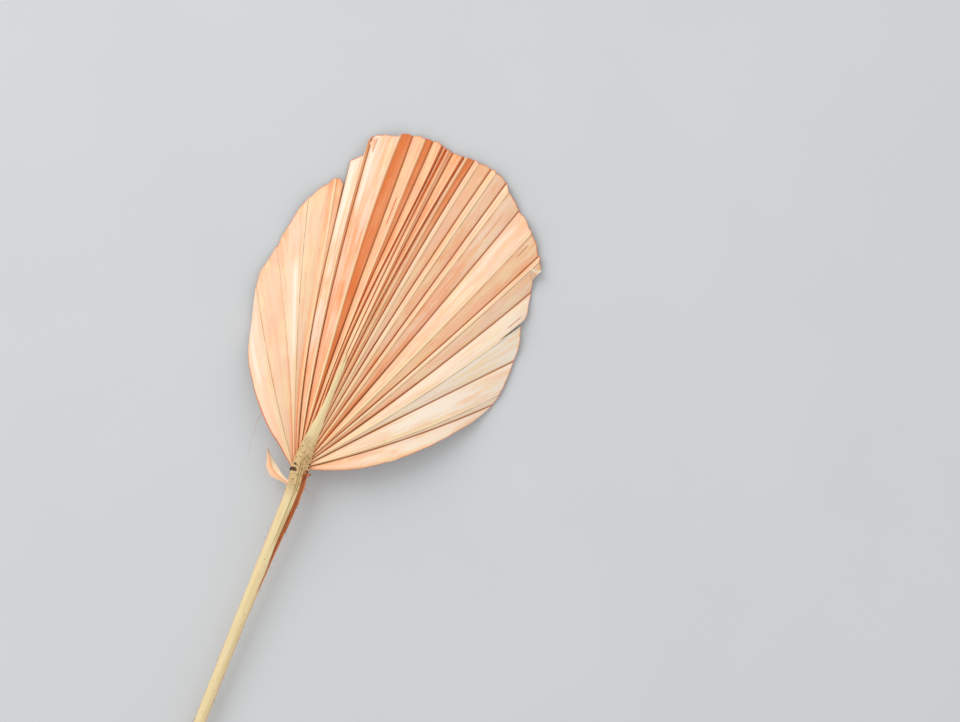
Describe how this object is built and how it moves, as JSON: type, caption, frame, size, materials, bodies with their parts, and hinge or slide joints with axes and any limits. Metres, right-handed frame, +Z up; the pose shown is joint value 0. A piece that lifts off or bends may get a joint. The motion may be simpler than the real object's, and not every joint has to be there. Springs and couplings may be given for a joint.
{
  "type": "dried fan palm leaf",
  "caption": "Dried, trimmed fan palm leaf: a pleated, rounded blade on a length of flattened stalk, laid with its ribbed underside up, for dried arrangements.",
  "frame": {"origin": "below the middle of the leaf's bounding box, on the surface it lies on", "axes": "+Y along the stalk towards the fan's rounded tip, +Z up out of the ribbed underside, +X to the wider half of the fan"},
  "size_m": [0.1728, 0.5346, 0.0255],
  "materials": {
    "stalk": "dry cream leaf stalk, faintly fibrous, with rust-red edges",
    "fan_blade": "dried palm leaf, matt, bleached cream with a peach and orange dye in the folds",
    "torn_strip": "dried palm leaf, matt, pale peach"
  },
  "bodies": {
    "root": {"stalk": "stalk", "fan_blade": "fan_blade", "torn_strip": "torn_strip"}
  },
  "joints": []
}
